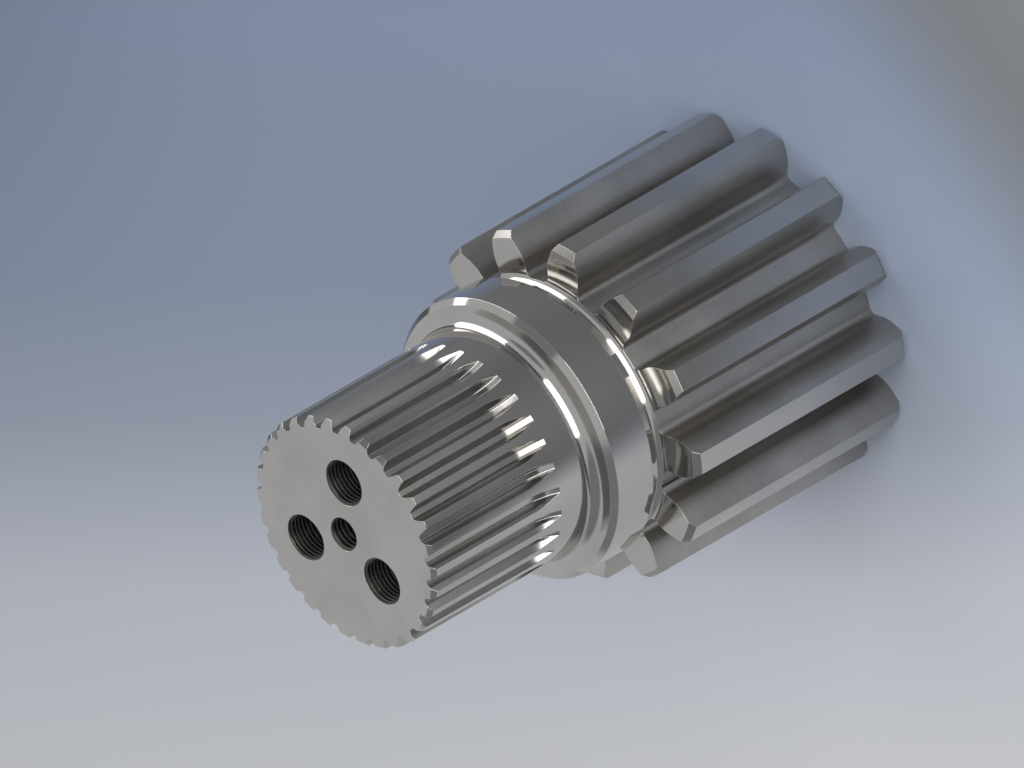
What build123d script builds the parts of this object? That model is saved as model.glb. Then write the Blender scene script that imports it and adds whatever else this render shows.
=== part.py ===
from build123d import *
import math
import os

os.makedirs("parts", exist_ok=True)

# Pinion shaft, turned and cut from one forging. Millimetres, +Z up.
# The gear's flat back face lies on Z = 0 and the splined end points up.

# Gear teeth: 20 degree stub form with a round bottom to each space
gear_module = 8.0
gear_teeth = 13
gear_angle = 20.0
gear_addendum = 0.8 * gear_module
gear_width = 90.4
gear_pitch_r = gear_module * gear_teeth / 2
gear_tip_r = gear_pitch_r + gear_addendum
gear_root_r = 46.6
gear_form_r = 50.3
tip_chamfer = 1.85

# Ring and tool groove between the gear and the bearing seat
ring_r = 47.2
ring_h = 3.4
ring_corner = 1.3
ring_chamfer = 1.0
groove_r = 44.0
groove_h = 4.1
groove_corner = 1.3

# Bearing seat, the circlip groove in front of it and the thin flange beyond the groove
seat_r = 46.9
seat_h = 17.0
seat_front_chamfer = 1.8
seat_back_chamfer = 0.3
circlip_groove_h = 2.0
flange_r = 44.5
flange_h = 1.0
flange_back_bevel = 0.8
flange_front_fall = 0.5

# Splined end: 30 degree flat root involute spline
spline_module = 2.5
spline_teeth = 30
spline_angle = 30.0
spline_pitch_r = spline_module * spline_teeth / 2
spline_tip_r = spline_pitch_r + 0.5 * spline_module
spline_root_r = spline_pitch_r - 0.75 * spline_module
spline_space_r = spline_tip_r + 0.4 * spline_module
spline_chamfer = 1.4
spline_length = 43.8
hob_r = 21.0
hob_sweep = 45.0
neck_fillet = 2.0
neck_h = 65.9

# Holes in the splined end face: three tapped M16 x 1.5 and one M12 in the middle
bolt_circle_r = 19.0
bolt_count = 3
bolt_core_r = 7.2
bolt_depth = 34.0
countersink_w = 0.5
countersink_angle = 90.0
middle_core_r = 5.05
middle_depth = 30.0

# Centre hole left in the back face by the turning
centre_drill_r = 2.5
centre_drill_depth = 9.0
centre_cone_r = 5.3
centre_cone_angle = 60.0

# Heights that follow from the sizes above
ring_z = gear_width + ring_h
seat_z = ring_z + groove_h
seat_top_z = seat_z + seat_h
flange_z = seat_top_z + circlip_groove_h
flange_front_z = flange_z + flange_h
shoulder_z = flange_front_z + flange_front_fall
length = shoulder_z + neck_h
clear = 5.0


def involute_half_angle(r, pitch_r, pressure_angle, half_space):
    """Half angle in radians of the space between two teeth at radius r."""
    base_r = pitch_r * math.cos(math.radians(pressure_angle))
    at_pitch = math.tan(math.radians(pressure_angle)) - math.radians(pressure_angle)
    a = math.acos(min(1.0, base_r / r))
    return half_space - at_pitch + math.tan(a) - a


def polar(r, angle):
    return (r * math.cos(angle), r * math.sin(angle))


def flank(low_r, high_r, pitch_r, pressure_angle, half_space, side):
    """Draws one involute flank as two arcs through points of the involute and returns its two ends."""
    points = []
    for i in range(5):
        r = low_r + (high_r - low_r) * i / 4
        points.append(polar(r, side * involute_half_angle(r, pitch_r, pressure_angle, half_space)))
    ThreePointArc(points[0], points[1], points[2])
    ThreePointArc(points[2], points[3], points[4])
    return points[0], points[-1]


# Outline of the turned blank, from the middle of the back face round to the axis
with BuildSketch(Plane.XZ) as blank_outline:
    with BuildLine():
        Polyline(
            (0, 0),
            (gear_tip_r - tip_chamfer, 0),
            (gear_tip_r, tip_chamfer),
            (gear_tip_r, gear_width - tip_chamfer),
            (gear_tip_r - tip_chamfer, gear_width),
            (ring_r + ring_corner, gear_width),
            (ring_r, gear_width + ring_corner),
            (ring_r, ring_z - ring_chamfer),
            (ring_r - ring_chamfer, ring_z),
            (groove_r + groove_corner, ring_z),
            (groove_r, ring_z + groove_corner),
            (groove_r, seat_z - groove_corner),
            (groove_r + groove_corner, seat_z),
            (seat_r - seat_back_chamfer, seat_z),
            (seat_r, seat_z + seat_back_chamfer),
            (seat_r, seat_top_z - seat_front_chamfer),
            (seat_r - seat_front_chamfer, seat_top_z),
            (spline_tip_r, seat_top_z),
            (spline_tip_r, flange_z),
            (flange_r - flange_back_bevel, flange_z),
            (flange_r, flange_z + flange_back_bevel),
            (flange_r, flange_front_z),
            (spline_tip_r, shoulder_z),
            (spline_tip_r, length - spline_chamfer),
            (spline_tip_r - spline_chamfer, length),
            (0, length),
            close=True,
        )
    make_face()
    # The neck runs into the flange with a radius
    fillet(blank_outline.vertices().sort_by_distance((spline_tip_r, shoulder_z))[0], neck_fillet)

# One space between two gear teeth: two flanks, joined by a round bottom
gear_half_space = math.pi / gear_teeth / 2
with BuildSketch(Plane.XY) as gear_space:
    with BuildLine():
        up = flank(gear_form_r, gear_tip_r + clear, gear_pitch_r, gear_angle, gear_half_space, 1)
        down = flank(gear_form_r, gear_tip_r + clear, gear_pitch_r, gear_angle, gear_half_space, -1)
        Line(up[1], down[1])
        ThreePointArc(up[0], (gear_root_r, 0), down[0])
    make_face()

# One space of the spline
spline_half_space = math.pi / spline_teeth / 2
with BuildSketch(Plane.XY.offset(length - spline_length)) as spline_space:
    with BuildLine():
        # A flank this short is drawn straight from end to end, which stays close to its involute
        foot = involute_half_angle(spline_root_r, spline_pitch_r, spline_angle, spline_half_space)
        top = involute_half_angle(spline_space_r, spline_pitch_r, spline_angle, spline_half_space)
        Polyline(
            polar(spline_root_r, foot),
            polar(spline_space_r, top),
            polar(spline_space_r, -top),
            polar(spline_root_r, -foot),
            close=True,
        )
    make_face()

# Where the hob lifts out of the cut the space follows the hob's own radius
hob_axis = Axis((spline_root_r + hob_r, 0, length - spline_length), (0, -1, 0))
with BuildPart() as spline_cutter:
    extrude(spline_space.sketch, amount=spline_length + clear)
    revolve(spline_space.sketch, axis=hob_axis, revolution_arc=hob_sweep)


# The gear spaces run on through the ring and open into the tool groove
with BuildPart() as gear_cutter:
    extrude(gear_space.sketch, amount=ring_z + groove_h / 2)


with BuildPart() as pinion_shaft:
    revolve(blank_outline.sketch, axis=Axis.Z)
    # Gear teeth
    with PolarLocations(0, gear_teeth, start_angle=180 / gear_teeth):
        add(gear_cutter.part, mode=Mode.SUBTRACT)
    # Spline teeth
    with PolarLocations(0, spline_teeth, start_angle=180 / spline_teeth):
        add(spline_cutter.part, mode=Mode.SUBTRACT)
    # Tapped holes in the end face, at their core size
    with Locations(Plane.XY.offset(length)):
        with PolarLocations(bolt_circle_r, bolt_count):
            CounterSinkHole(bolt_core_r, bolt_core_r + countersink_w, bolt_depth, countersink_angle)
        CounterSinkHole(middle_core_r, middle_core_r + countersink_w, middle_depth, countersink_angle)
    # Centre hole in the back face
    with Locations(Plane.XY.rotated((180, 0, 0))):
        CounterSinkHole(centre_drill_r, centre_cone_r, centre_drill_depth, centre_cone_angle)

pinion_shaft.part.label = "pinion_shaft"
export_step(pinion_shaft.part, "parts/pinion_shaft.step")
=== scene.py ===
import math

import bpy
from mathutils import Matrix, Vector


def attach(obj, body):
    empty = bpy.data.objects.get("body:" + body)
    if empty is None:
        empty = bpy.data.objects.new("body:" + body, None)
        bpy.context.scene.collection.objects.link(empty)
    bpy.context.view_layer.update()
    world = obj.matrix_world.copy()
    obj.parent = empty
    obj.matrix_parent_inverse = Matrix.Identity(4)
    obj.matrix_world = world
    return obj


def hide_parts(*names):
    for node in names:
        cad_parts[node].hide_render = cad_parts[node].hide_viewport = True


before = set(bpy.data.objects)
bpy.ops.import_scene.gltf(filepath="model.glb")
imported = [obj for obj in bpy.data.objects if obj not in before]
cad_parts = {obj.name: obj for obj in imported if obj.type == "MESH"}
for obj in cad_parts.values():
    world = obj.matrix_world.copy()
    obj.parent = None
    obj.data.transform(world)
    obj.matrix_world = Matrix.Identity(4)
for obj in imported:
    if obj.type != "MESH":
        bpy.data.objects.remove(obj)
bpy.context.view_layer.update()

MM = 0.001

# Sizes of the shaft in millimetres. They are the CAD model's, but for the depth of the gear teeth,
# the groove behind them and the shoulder in front of the seat, where these are the better reading
GEAR_MODULE = 8.0
GEAR_TEETH = 13
GEAR_ANGLE = math.radians(20.0)
GEAR_ADDENDUM = 0.8
GEAR_PITCH_R = GEAR_MODULE * GEAR_TEETH / 2
GEAR_TIP_R = GEAR_PITCH_R + GEAR_ADDENDUM * GEAR_MODULE
GEAR_BASE_R = GEAR_PITCH_R * math.cos(GEAR_ANGLE)
GEAR_ROOT_R = GEAR_PITCH_R - GEAR_MODULE
GEAR_ROOT_FILLET = 2.2
GEAR_WIDTH = 90.4
TIP_CHAMFER = 1.85
GROOVE_R = 42.7
GROOVE_H = 7.5
GROOVE_CORNER = 3.0
SEAT_R = 46.9
SEAT_H = 17.0
SEAT_FRONT_CHAMFER = 1.8
SEAT_BACK_CHAMFER = 0.3
SPLINE_MODULE = 2.5
SPLINE_TEETH = 30
SPLINE_ANGLE = math.radians(30.0)
SPLINE_ADDENDUM = 0.5
SPLINE_DEDENDUM = 0.75
SPLINE_PITCH_R = SPLINE_MODULE * SPLINE_TEETH / 2
SPLINE_TIP_R = SPLINE_PITCH_R + SPLINE_ADDENDUM * SPLINE_MODULE
SPLINE_ROOT_R = SPLINE_PITCH_R - SPLINE_DEDENDUM * SPLINE_MODULE
SPLINE_ROOT_FILLET = 0.25
SPLINE_CHAMFER = 1.4
SPLINE_LENGTH = 43.8
HOB_R = 21.0
HOB_SWEEP = math.radians(42)
NECK_FILLET = 4.0
NECK_H = 69.4
SEAT_Z = GEAR_WIDTH + GROOVE_H
SHOULDER_Z = SEAT_Z + SEAT_H
LENGTH = SHOULDER_Z + NECK_H
BOLT_CIRCLE_R = 19.0
BOLT_COUNT = 3
BOLT_CORE_R = 7.2
BOLT_DEPTH = 34.0
COUNTERSINK = 0.5
MIDDLE_CORE_R = 5.05
MIDDLE_DEPTH = 30.0
CENTRE_DRILL_R = 2.5
CENTRE_DRILL_DEPTH = 9.0
CENTRE_DRILL_POINT = 1.0
CENTRE_CONE_R = 5.3
CENTRE_CONE_SLOPE = math.radians(30)
DRILL_POINT = 0.6
BOLT_THREAD_R = 8.0
BOLT_THREAD_PITCH = 1.5
MIDDLE_THREAD_R = 6.0
MIDDLE_THREAD_PITCH = 1.75
THREAD_SLOPE = math.radians(30)
THREAD_CREST = 0.06
THREAD_TURNS = 12

# How finely the round forms are stepped, and how far a cutter stands clear of the metal
TURNED_STEPS = 312
GROOVE_CORNER_STEPS = 14
NECK_FILLET_STEPS = 16
GEAR_FLANK_STEPS = 12
GEAR_ROOT_STEPS = 8
SPLINE_FLANK_STEPS = 5
SPLINE_ROOT_STEPS = 5
HOB_STEPS = 24
HOLE_STEPS = 64
THREAD_STEPS = 40
SMOOTH_BELOW = math.radians(24)
AREA_WEIGHT = 100
OVERCUT = 1.0
GEAR_OVERCUT = 2.0
SPLINE_OVERCUT = 0.8
THREAD_OVERCUT = 0.15
CENTRE_OVERCUT = 0.58
WELD = 0.0005 * MM

# Finishes, in millimetres and sRGB hex. The pairs are the low and high ends of a range
CLOUD_MM = 28.0
CLOUD_NOISE = {"Detail": 3.0, "Roughness": 0.55}
CLOUD_RANGE = (0.35, 0.65)
GRAIN_NOISE = {"Detail": 4.0, "Roughness": 0.6}
GRAIN_RANGE = (0.3, 0.7)
GLOSS_SPREAD = (0.8, 1.25)
EDGE_MM = 0.2
EDGE_SAMPLES = 6
EDGE_TURN = (0.995, 0.93)
EDGE_SHARE = 0.5
RUBBED = "dcd8d0"
MARKS_WOBBLE = 0.4
MARKS = {
    "rings": {"wave_type": "RINGS", "rings_direction": "Z"},
    "bands": {"wave_type": "BANDS", "bands_direction": "Z"},
}

# Where the finishes change, in millimetres from the axis or below a tip, and by a normal's Z
HOLES_R = 30.0
BELOW_TIP = 0.2
FLAT_Z = 0.95
CHAMFER_Z = 0.6

# Studio floor: places in metres up the picture with their colours, and the tone past its right edge.
# The deeper tones are painted shade, which the steel mirrors. The two directions are azimuths in degrees
FLOOR_SIZE = 8.0
FLOOR_ROUGHNESS = 0.95
FLOOR_SHEEN = 0.1
UP_THE_PICTURE = 26.6
FLOOR_TONES_AND_SHADE = (
    (-0.16, "f6f6f8"),
    (-0.10, "e4e7ef"),
    (-0.045, "b9c1d0"),
    (0.0, "a3aec2"),
    (0.09, "8e9bb3"),
    (0.15, "818386"),
)
TO_THE_RIGHT = -38
ASIDE_FROM = 0.08
ASIDE_TO = 0.17
FLOOR_ASIDE_SHADE = "7e8083"

# Studio room: its tone, and darker stretches by azimuth, elevation, inner and outer half angle
ROOM_GREY = "c6c8cb"
ROOM_DARK = "888b91"
DARK_STRETCHES = ((-135, 30, 30, 45), (20, 45, 14, 18))

# Softboxes: name, azimuth, distance, low and high edge in metres, half angle and strength
SOFTBOXES = (
    ("front_softbox", -45, 0.34, 0.0, 0.3, 26, 2.6),
    ("side_softbox", 52, 0.34, 0.0, 0.22, 26, 2.4),
)

# Camera: parallel projection, straight down an isometric direction
PHOTO_WIDTH = 1024.0
PHOTO_HEIGHT = 768.0
PIXELS_PER_MM = 3.29
FACE_CENTRE_PX = (344.0, 534.0)
TO_CAMERA = Vector((1, -1, 1)).normalized()
IMAGE_RIGHT = Vector((0, -1, -1)).normalized()
IMAGE_UP = TO_CAMERA.cross(IMAGE_RIGHT)


def object_mode():
    """Leaves edit mode, if an object is in it."""
    if bpy.context.object and bpy.context.object.mode != "OBJECT":
        bpy.ops.object.mode_set(mode="OBJECT")


def pick_only(obj):
    """Leaves this object alone selected and active."""
    object_mode()
    bpy.ops.object.select_all(action="DESELECT")
    obj.select_set(True)
    bpy.context.view_layer.objects.active = obj


def draw_outline(name, points):
    """An outline drawn from point to point by extruding one vertex. Points are in millimetres."""
    object_mode()
    bpy.ops.object.select_all(action="DESELECT")
    start = Vector(points[0]) * MM
    bpy.ops.mesh.primitive_plane_add(size=MM, location=start)
    outline = bpy.context.object
    outline.name = name
    bpy.ops.object.transform_apply(location=True, rotation=True, scale=True)
    bpy.ops.object.mode_set(mode="EDIT")
    bpy.ops.mesh.select_all(action="SELECT")
    bpy.ops.mesh.merge(type="CENTER")
    last = start
    for point in points[1:]:
        here = Vector(point) * MM
        bpy.ops.mesh.extrude_region_move(TRANSFORM_OT_translate={"value": here - last})
        last = here
    return outline


def close_up(obj):
    """Welds the seams and turns the faces outwards."""
    bpy.ops.object.mode_set(mode="EDIT")
    bpy.ops.mesh.select_all(action="SELECT")
    bpy.ops.mesh.remove_doubles(threshold=WELD)
    bpy.ops.mesh.normals_make_consistent(inside=False)
    bpy.ops.object.mode_set(mode="OBJECT")


def arc(centre, r, start, end, steps):
    """Points of an arc in the plane, angles in degrees."""
    out = []
    for i in range(steps + 1):
        a = math.radians(start + (end - start) * i / steps)
        out.append((centre[0] + r * math.cos(a), centre[1] + r * math.sin(a)))
    return out


def corner(r, z, round_r, start, steps):
    """Rounds the square inner corner at (r, z), from this angle through a quarter turn back."""
    way = math.radians(start - 45)
    reach = round_r * math.sqrt(2)
    centre = (r - reach * math.cos(way), z - reach * math.sin(way))
    return arc(centre, round_r, start, start - 90, steps)


def spin_round(centre, steps):
    """Spins the selected outline a full turn round an upright axis."""
    bpy.ops.mesh.spin(steps=steps, angle=math.tau, center=centre, axis=(0, 0, 1), use_auto_merge=True)
    bpy.ops.object.mode_set(mode="OBJECT")


def blank_profile():
    """The turned outline from the middle of the back face up to the middle of the end face."""
    return [
        (0, 0),
        (GEAR_TIP_R - TIP_CHAMFER, 0),
        (GEAR_TIP_R, TIP_CHAMFER),
        (GEAR_TIP_R, GEAR_WIDTH - TIP_CHAMFER),
        (GEAR_TIP_R - TIP_CHAMFER, GEAR_WIDTH),
        *corner(GROOVE_R, GEAR_WIDTH, GROOVE_CORNER, 270, GROOVE_CORNER_STEPS),
        *corner(GROOVE_R, SEAT_Z, GROOVE_CORNER, 180, GROOVE_CORNER_STEPS),
        (SEAT_R - SEAT_BACK_CHAMFER, SEAT_Z),
        (SEAT_R, SEAT_Z + SEAT_BACK_CHAMFER),
        (SEAT_R, SHOULDER_Z - SEAT_FRONT_CHAMFER),
        (SEAT_R - SEAT_FRONT_CHAMFER, SHOULDER_Z),
        *corner(SPLINE_TIP_R, SHOULDER_Z, NECK_FILLET, 270, NECK_FILLET_STEPS),
        (SPLINE_TIP_R, LENGTH - SPLINE_CHAMFER),
        (SPLINE_TIP_R - SPLINE_CHAMFER, LENGTH),
        (0, LENGTH),
    ]


def turn_blank():
    """Spins the outline round the axis, as the lathe does."""
    blank = draw_outline("pinion_body", [(r, 0, z) for r, z in blank_profile()])
    bpy.ops.mesh.select_all(action="SELECT")
    spin_round((0, 0, 0), TURNED_STEPS)
    close_up(blank)
    return blank


def half_space(r, pitch_r, angle, teeth):
    """Half angle of the space between two involute teeth at radius r."""
    base_r = pitch_r * math.cos(angle)
    a = math.acos(min(1.0, base_r / r))
    return math.pi / teeth / 2 - (math.tan(angle) - angle) + math.tan(a) - a


def flank(low_r, high_r, pitch_r, angle, teeth, steps):
    """Points of one flank of a space on +X, from outside inwards."""
    points = []
    for i in range(steps + 1):
        r = high_r + (low_r - high_r) * i / steps
        a = half_space(r, pitch_r, angle, teeth)
        points.append((r * math.cos(a), r * math.sin(a)))
    return points


def rounded_corner(before, corner_at, after, r, steps):
    """Points that round the corner between two straight runs with radius r."""
    before, corner_at, after = Vector(before), Vector(corner_at), Vector(after)
    back = (before - corner_at).normalized()
    ahead = (after - corner_at).normalized()
    half = back.angle(ahead) / 2
    centre = corner_at + (back + ahead).normalized() * (r / math.sin(half))
    start = corner_at + back * (r / math.tan(half)) - centre
    end = corner_at + ahead * (r / math.tan(half)) - centre
    points = []
    for i in range(steps + 1):
        here = centre + start.slerp(end, i / steps).normalized() * r
        points.append((here.x, here.y))
    return points


def gear_space_outline():
    """One gear tooth space: two flanks, straight feet below the base circle and a rounded bottom."""
    out_r = GEAR_TIP_R + GEAR_OVERCUT
    upper = flank(GEAR_BASE_R, out_r, GEAR_PITCH_R, GEAR_ANGLE, GEAR_TEETH, GEAR_FLANK_STEPS)
    foot_x, foot_y = upper[-1]
    foot = (foot_x * GEAR_ROOT_R / GEAR_BASE_R, foot_y * GEAR_ROOT_R / GEAR_BASE_R)
    upper += rounded_corner(upper[-1], foot, (GEAR_ROOT_R, 0), GEAR_ROOT_FILLET, GEAR_ROOT_STEPS)
    return upper + [(GEAR_ROOT_R, 0)] + [(x, -y) for x, y in reversed(upper)]


def spline_space_outline():
    """One spline space: two flanks, a flat bottom and a small round in each corner."""
    out_r = SPLINE_TIP_R + SPLINE_OVERCUT
    upper = flank(SPLINE_ROOT_R, out_r, SPLINE_PITCH_R, SPLINE_ANGLE, SPLINE_TEETH, SPLINE_FLANK_STEPS)
    foot = upper.pop()
    upper += rounded_corner(upper[-1], foot, (foot[0], 0), SPLINE_ROOT_FILLET, SPLINE_ROOT_STEPS)
    return upper + [(x, -y) for x, y in reversed(upper)]


def pattern(cutter, count, first):
    """Copies of a cutter round the axis, the first one turned by an angle, joined into one object."""
    copies = []
    for i in range(count):
        mesh = cutter.data.copy()
        mesh.transform(Matrix.Rotation(first + math.tau * i / count, 4, "Z"))
        obj = bpy.data.objects.new(cutter.name + str(i), mesh)
        bpy.context.collection.objects.link(obj)
        copies.append(obj)
    bpy.data.objects.remove(cutter)
    pick_only(copies[0])
    for obj in copies:
        obj.select_set(True)
    bpy.ops.object.join()
    return bpy.context.object


def cut(body, cutter):
    """Takes the cutter out of the body."""
    pick_only(body)
    knife = body.modifiers.new("cut", "BOOLEAN")
    knife.operation = "DIFFERENCE"
    knife.solver = "EXACT"
    knife.object = cutter
    bpy.ops.object.modifier_apply(modifier=knife.name)
    bpy.data.objects.remove(cutter)


def gear_cutter():
    """The tooth spaces, cut by a tool that runs out in the middle of the groove."""
    cutter = draw_outline("gear_space", [(x, y, -OVERCUT) for x, y in gear_space_outline()])
    bpy.ops.mesh.select_all(action="SELECT")
    bpy.ops.mesh.edge_face_add()
    height = GEAR_WIDTH + GROOVE_H / 2 + OVERCUT
    bpy.ops.mesh.extrude_region_move(TRANSFORM_OT_translate={"value": (0, 0, height * MM)})
    bpy.ops.object.mode_set(mode="OBJECT")
    close_up(cutter)
    return pattern(cutter, GEAR_TEETH, math.pi / GEAR_TEETH)


def spline_cutter():
    """The spline spaces with the curved run-out that a hob leaves at their inner end."""
    cutter = draw_outline("spline_space", [(x, y, LENGTH + OVERCUT) for x, y in spline_space_outline()])
    bpy.ops.mesh.select_all(action="SELECT")
    bpy.ops.mesh.edge_face_add()
    way = (0, 0, -(SPLINE_LENGTH + OVERCUT) * MM)
    bpy.ops.mesh.extrude_region_move(TRANSFORM_OT_translate={"value": way})
    hob_centre = ((SPLINE_ROOT_R + HOB_R) * MM, 0, (LENGTH - SPLINE_LENGTH) * MM)
    bpy.ops.mesh.spin(steps=HOB_STEPS, angle=HOB_SWEEP, center=hob_centre, axis=(0, 1, 0))
    bpy.ops.object.mode_set(mode="OBJECT")
    close_up(cutter)
    return pattern(cutter, SPLINE_TEETH, math.pi / SPLINE_TEETH)


def turned_cutter(name, profile, x):
    """A cutter spun from an outline of radii and heights, standing at x from the shaft's axis."""
    cutter = draw_outline(name, [(x + r, 0, z) for r, z in profile])
    bpy.ops.mesh.select_all(action="SELECT")
    spin_round((x * MM, 0, 0), HOLE_STEPS)
    close_up(cutter)
    return cutter


def thread_cutter(name, core_r, thread_r, pitch, x):
    """A helical groove with 60 degree flanks that starts at the end face and runs down a tapped hole."""
    inner = core_r - THREAD_OVERCUT
    crest = pitch * THREAD_CREST
    half = crest + (thread_r - inner) * math.tan(THREAD_SLOPE)
    top = LENGTH + half
    foot_up, foot_down = (inner, 0, top + half), (inner, 0, top - half)
    crest_up, crest_down = (thread_r, 0, top + crest), (thread_r, 0, top - crest)
    cutter = draw_outline(name, [foot_down, crest_down, crest_up, foot_up])
    bpy.ops.mesh.select_all(action="SELECT")
    bpy.ops.mesh.edge_face_add()
    bpy.ops.mesh.delete(type="ONLY_FACE")
    bpy.ops.object.mode_set(mode="OBJECT")
    helix = cutter.modifiers.new("helix", "SCREW")
    helix.axis = "Z"
    helix.screw_offset = -pitch * MM
    helix.iterations = THREAD_TURNS
    helix.steps = THREAD_STEPS
    helix.render_steps = THREAD_STEPS
    bpy.ops.object.modifier_apply(modifier=helix.name)
    bpy.ops.object.mode_set(mode="EDIT")
    bpy.ops.mesh.select_all(action="SELECT")
    bpy.ops.mesh.fill_holes(sides=4)
    bpy.ops.transform.translate(value=(x * MM, 0, 0))
    bpy.ops.object.mode_set(mode="OBJECT")
    close_up(cutter)
    return cutter


def hole_profile(r, depth):
    """A drilled hole from the end face: a countersink, a straight wall and the drill's point."""
    return [
        (0, LENGTH + OVERCUT),
        (r + COUNTERSINK + OVERCUT, LENGTH + OVERCUT),
        (r, LENGTH - COUNTERSINK),
        (r, LENGTH - depth),
        (0, LENGTH - depth - r * DRILL_POINT),
    ]


def centre_profile():
    """The centre hole of the back face: a drilled pilot and a cone."""
    cone_h = (CENTRE_CONE_R - CENTRE_DRILL_R) / math.tan(CENTRE_CONE_SLOPE)
    return [
        (0, CENTRE_DRILL_DEPTH + CENTRE_DRILL_POINT),
        (CENTRE_DRILL_R, CENTRE_DRILL_DEPTH),
        (CENTRE_DRILL_R, cone_h),
        (CENTRE_CONE_R + CENTRE_OVERCUT, -OVERCUT),
        (0, -OVERCUT),
    ]


body = turn_blank()
cut(body, gear_cutter())
cut(body, spline_cutter())
bolt_hole = turned_cutter("bolt_hole", hole_profile(BOLT_CORE_R, BOLT_DEPTH), BOLT_CIRCLE_R)
cut(body, pattern(bolt_hole, BOLT_COUNT, 0.0))
cut(body, turned_cutter("middle_hole", hole_profile(MIDDLE_CORE_R, MIDDLE_DEPTH), 0.0))
bolt_thread = thread_cutter("bolt_thread", BOLT_CORE_R, BOLT_THREAD_R, BOLT_THREAD_PITCH, BOLT_CIRCLE_R)
cut(body, pattern(bolt_thread, BOLT_COUNT, 0.0))
cut(body, thread_cutter("middle_thread", MIDDLE_CORE_R, MIDDLE_THREAD_R, MIDDLE_THREAD_PITCH, 0.0))
cut(body, turned_cutter("centre_hole", centre_profile(), 0.0))
pick_only(body)
bpy.ops.object.shade_smooth_by_angle(angle=SMOOTH_BELOW)
weigh = body.modifiers.new("weighted", "WEIGHTED_NORMAL")
weigh.keep_sharp = True
weigh.weight = AREA_WEIGHT
bpy.ops.object.modifier_apply(modifier=weigh.name)
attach(body, "root")
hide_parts("pinion_shaft")


def linear(hex_colour):
    """An sRGB hex colour as linear RGBA."""
    out = []
    for i in (0, 2, 4):
        c = int(hex_colour[i:i + 2], 16) / 255
        out.append(c / 12.92 if c <= 0.04045 else ((c + 0.055) / 1.055) ** 2.4)
    return (*out, 1.0)


def node(tree, kind, settings=None, **links):
    """Adds a node, sets its properties and joins or fills its inputs, by name or as i0, i1 and so on."""
    made = tree.nodes.new(kind)
    for key, value in (settings or {}).items():
        setattr(made, key, value)
    for key, value in links.items():
        numbered = key[0] == "i" and key[1:].isdigit()
        socket = made.inputs[int(key[1:]) if numbered else key.replace("_", " ")]
        if isinstance(value, bpy.types.NodeSocket):
            tree.links.new(value, socket)
        else:
            socket.default_value = value
    return made


def steel(name, light, dark, roughness, grain_mm, grain_depth_mm, marks, marks_mm, marks_depth_mm):
    """A bare hardened steel: cloudy tone, fine grain, tool marks and edges rubbed bright."""
    made = bpy.data.materials.new(name)
    made.use_nodes = True
    t = made.node_tree
    shader = t.nodes["Principled BSDF"]
    shader.inputs["Metallic"].default_value = 1.0
    place = node(t, "ShaderNodeTexCoord").outputs["Object"]

    cloud = node(t, "ShaderNodeTexNoise", Vector=place, Scale=1 / (CLOUD_MM * MM), **CLOUD_NOISE)
    grain = node(t, "ShaderNodeTexNoise", Vector=place, Scale=1 / (grain_mm * MM), **GRAIN_NOISE)

    rounded = node(t, "ShaderNodeBevel", {"samples": EDGE_SAMPLES}, Radius=EDGE_MM * MM).outputs[0]
    flat = node(t, "ShaderNodeNewGeometry").outputs["Normal"]
    turn = node(t, "ShaderNodeVectorMath", {"operation": "DOT_PRODUCT"}, i0=rounded, i1=flat).outputs["Value"]
    edge = node(t, "ShaderNodeMapRange", Value=turn, From_Min=EDGE_TURN[0], From_Max=EDGE_TURN[1])

    spread = {"From_Min": CLOUD_RANGE[0], "From_Max": CLOUD_RANGE[1]}
    tone = node(t, "ShaderNodeMapRange", Value=cloud.outputs[0], **spread)
    colours = {"i6": linear(dark), "i7": linear(light)}
    body_tone = node(t, "ShaderNodeMix", {"data_type": "RGBA"}, Factor=tone.outputs[0], **colours)
    worn = node(t, "ShaderNodeMath", {"operation": "MULTIPLY"}, i0=edge.outputs[0], i1=EDGE_SHARE)
    colours = {"i6": body_tone.outputs[2], "i7": linear(RUBBED)}
    final = node(t, "ShaderNodeMix", {"data_type": "RGBA"}, Factor=worn.outputs[0], **colours)
    t.links.new(final.outputs[2], shader.inputs["Base Color"])

    spread = {"From_Min": GRAIN_RANGE[0], "From_Max": GRAIN_RANGE[1]}
    spread.update(To_Min=roughness * GLOSS_SPREAD[0], To_Max=roughness * GLOSS_SPREAD[1])
    gloss = node(t, "ShaderNodeMapRange", Value=grain.outputs[0], **spread)
    t.links.new(gloss.outputs[0], shader.inputs["Roughness"])

    # At scale 1 the wave repeats every tau / 20 metres
    wave = {"Scale": math.tau / 20 / (marks_mm * MM), "Distortion": MARKS_WOBBLE, "Detail": 1.0}
    lines = node(t, "ShaderNodeTexWave", MARKS[marks], Vector=place, **wave).outputs[1]
    marked = node(t, "ShaderNodeBump", Height=lines, Normal=rounded, Distance=marks_depth_mm * MM)
    depth = grain_depth_mm * MM
    skin = node(t, "ShaderNodeBump", Height=grain.outputs[0], Normal=marked.outputs[0], Distance=depth)
    t.links.new(skin.outputs[0], shader.inputs["Normal"])
    return made


# The real feeds of 0.05 to 0.3 mm and the grain of about 0.1 mm are too fine to show in the render,
# so the marks and the grain of each finish are drawn as coarse as they need to show

# Turned on a lathe: a clean shine with fine lines across it
turned = steel(
    "turned_alloy_steel", light="c8c5c0", dark="bebbb6", roughness=0.09,
    grain_mm=0.8, grain_depth_mm=0.001, marks="bands", marks_mm=0.5, marks_depth_mm=0.0004,
)
# Ground: the bearing seat is the smoothest surface and mirrors the room most sharply
ground = steel(
    "ground_bearing_steel", light="c8c5c0", dark="c2bfba", roughness=0.07,
    grain_mm=0.5, grain_depth_mm=0.0005, marks="bands", marks_mm=0.4, marks_depth_mm=0.0002,
)
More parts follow.
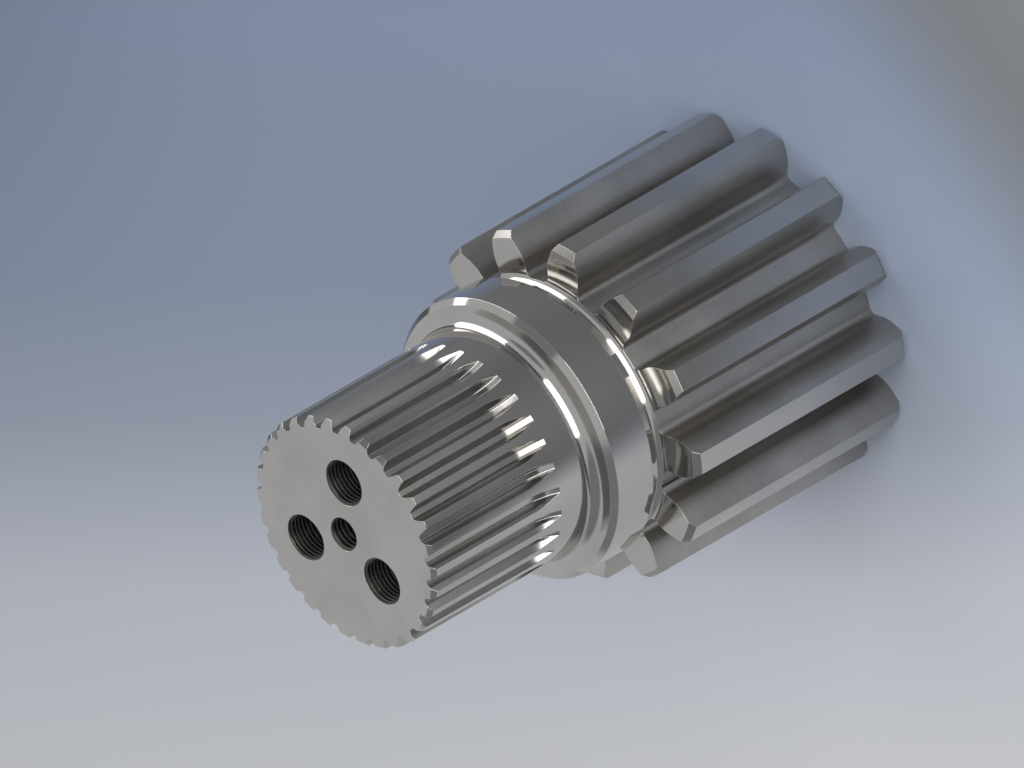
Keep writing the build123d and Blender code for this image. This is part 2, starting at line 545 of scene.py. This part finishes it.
# Faced: rings round the axis, which an end face keeps from the facing cut, soften what it mirrors
faced = steel(
    "faced_alloy_steel", light="c8c5c0", dark="bdbab5", roughness=0.12,
    grain_mm=0.9, grain_depth_mm=0.0015, marks="rings", marks_mm=0.5, marks_depth_mm=0.0004,
)
# Hobbed gear teeth: dull, sandy flanks with faint cuts across them, darker than the turned parts
hobbed = steel(
    "hobbed_tooth_steel", light="b7b3ad", dark="a4a09a", roughness=0.33,
    grain_mm=0.45, grain_depth_mm=0.012, marks="bands", marks_mm=1.2, marks_depth_mm=0.001,
)
# Hobbed splines: a fine feed, so their spaces and run-outs still mirror the softboxes
splined = steel(
    "hobbed_spline_steel", light="c3c0bb", dark="b3b0ab", roughness=0.13,
    grain_mm=0.5, grain_depth_mm=0.002, marks="bands", marks_mm=0.8, marks_depth_mm=0.0004,
)
# Drilled and tapped: rough and dull, and coloured dark as painted shade, so the holes look dark inside
tapped = steel(
    "tapped_hole_steel_painted_shade", light="716d68", dark="5f5b57", roughness=0.34,
    grain_mm=0.6, grain_depth_mm=0.004, marks="bands", marks_mm=0.4, marks_depth_mm=0.001,
)
finishes = (turned, ground, faced, hobbed, tapped, splined)
TURNED, GROUND, FACED, HOBBED, TAPPED_PAINTED_SHADE, SPLINED = range(len(finishes))


def finish_of(face):
    """Which finish a face of the shaft has, by its place and the way it points."""
    centre = face.center / MM
    r = math.hypot(centre.x, centre.y)
    if abs(face.normal.z) > FLAT_Z:
        return FACED
    # Hole walls take the tapped finish, whose dark colour is painted shade
    if r < HOLES_R:
        return TAPPED_PAINTED_SHADE
    if centre.z < GEAR_WIDTH and r < GEAR_TIP_R - BELOW_TIP:
        return HOBBED
    in_spline = centre.z > SHOULDER_Z + NECK_FILLET and r < SPLINE_TIP_R - BELOW_TIP
    if in_spline and abs(face.normal.z) < CHAMFER_Z:
        return SPLINED
    return GROUND if SEAT_Z < centre.z < SHOULDER_Z else TURNED


for finish in finishes:
    body.data.materials.append(finish)
for face in body.data.polygons:
    face.material_index = finish_of(face)

# Studio floor: pale at the bottom of the picture, with painted shade: a deeper blue grey towards the top,
# and a neutral grey past the picture's right edge, in the part that the steel mirrors
object_mode()
bpy.ops.object.select_all(action="DESELECT")
bpy.ops.mesh.primitive_plane_add(size=FLOOR_SIZE, location=(0, 0, 0))
floor = bpy.context.object
floor.name = "studio_floor"
floor_paint = bpy.data.materials.new("matt_floor_painted_shade")
floor_paint.use_nodes = True
t = floor_paint.node_tree
shader = t.nodes["Principled BSDF"]
shader.inputs["Roughness"].default_value = FLOOR_ROUGHNESS
shader.inputs["Specular IOR Level"].default_value = FLOOR_SHEEN
place = node(t, "ShaderNodeTexCoord").outputs["Object"]


def distance_along(azimuth):
    """How far a place on the floor lies in one direction."""
    a = math.radians(azimuth)
    way = (math.cos(a), math.sin(a), 0)
    return node(t, "ShaderNodeVectorMath", {"operation": "DOT_PRODUCT"}, i0=place, i1=way).outputs["Value"]


low, high = FLOOR_TONES_AND_SHADE[0][0], FLOOR_TONES_AND_SHADE[-1][0]
height = node(t, "ShaderNodeMapRange", Value=distance_along(UP_THE_PICTURE), From_Min=low, From_Max=high)
tones = node(t, "ShaderNodeValToRGB", Fac=height.outputs[0])
tones.color_ramp.elements.remove(tones.color_ramp.elements[1])
for i, (reach, colour) in enumerate(FLOOR_TONES_AND_SHADE):
    at = (reach - low) / (high - low)
    stop = tones.color_ramp.elements.new(at) if i else tones.color_ramp.elements[0]
    stop.position = at
    stop.color = linear(colour)
smooth = {"interpolation_type": "SMOOTHSTEP"}
fade = {"From_Min": ASIDE_FROM, "From_Max": ASIDE_TO}
# Painted shade: the floor turns neutral grey past the picture's right edge, where the steel mirrors it
aside_shade = node(t, "ShaderNodeMapRange", smooth, Value=distance_along(TO_THE_RIGHT), **fade)
colours = {"i6": tones.outputs[0], "i7": linear(FLOOR_ASIDE_SHADE)}
paint = node(t, "ShaderNodeMix", {"data_type": "RGBA"}, Factor=aside_shade.outputs[0], **colours)
t.links.new(paint.outputs[2], shader.inputs["Base Color"])
floor.data.materials.append(floor_paint)

# Studio room: an even grey with two darker stretches, which the chamfers and the left sides mirror
world = bpy.data.worlds.new("studio_room")
bpy.context.scene.world = world
world.use_nodes = True
t = world.node_tree
ray = node(t, "ShaderNodeTexCoord").outputs["Generated"]
stretches = []
for azimuth, elevation, inner, outer in DARK_STRETCHES:
    a, e = math.radians(azimuth), math.radians(elevation)
    middle = (math.cos(a) * math.cos(e), math.sin(a) * math.cos(e), math.sin(e))
    near = node(t, "ShaderNodeVectorMath", {"operation": "DOT_PRODUCT"}, i0=ray, i1=middle).outputs["Value"]
    fade = {"From_Min": math.cos(math.radians(outer)), "From_Max": math.cos(math.radians(inner))}
    stretches.append(node(t, "ShaderNodeMapRange", smooth, Value=near, **fade).outputs[0])
dark = node(t, "ShaderNodeMath", {"operation": "MAXIMUM"}, i0=stretches[0], i1=stretches[1]).outputs[0]
colours = {"i6": linear(ROOM_GREY), "i7": linear(ROOM_DARK)}
room = node(t, "ShaderNodeMix", {"data_type": "RGBA"}, Factor=dark, **colours)
t.links.new(room.outputs[2], t.nodes["Background"].inputs["Color"])


def softbox(name, azimuth, distance, low, high, half_angle, strength):
    """A lit panel that stands upright beside the shaft and faces it, from a low edge to a high one."""
    data = bpy.data.lights.new(name, "AREA")
    data.shape = "RECTANGLE"
    data.size = 2 * distance * math.tan(math.radians(half_angle))
    data.size_y = high - low
    # A strength of 1 is a panel that would mirror as white
    data.energy = strength * math.pi * data.size * data.size_y
    lamp = bpy.data.objects.new(name, data)
    bpy.context.collection.objects.link(lamp)
    a = math.radians(azimuth)
    way = Vector((math.cos(a), math.sin(a), 0))
    lamp.location = way * distance + Vector((0, 0, (low + high) / 2))
    lamp.rotation_euler = way.to_track_quat("Z", "Y").to_euler()
    lamp.visible_camera = False


for panel in SOFTBOXES:
    softbox(*panel)

camera_data = bpy.data.cameras.new("photo_camera")
camera_data.type = "ORTHO"
camera_data.ortho_scale = PHOTO_WIDTH / PIXELS_PER_MM * MM
camera = bpy.data.objects.new("photo_camera", camera_data)
bpy.context.collection.objects.link(camera)
face_x, face_y = FACE_CENTRE_PX
aim = Vector((0, 0, LENGTH)) + IMAGE_RIGHT * ((PHOTO_WIDTH / 2 - face_x) / PIXELS_PER_MM)
aim += IMAGE_UP * ((face_y - PHOTO_HEIGHT / 2) / PIXELS_PER_MM)
turned_to_face = Matrix((IMAGE_RIGHT, IMAGE_UP, TO_CAMERA)).transposed().to_4x4()
camera.matrix_world = Matrix.Translation(aim * MM + TO_CAMERA) @ turned_to_face
bpy.context.scene.camera = camera
bpy.context.scene.view_settings.view_transform = "Standard"
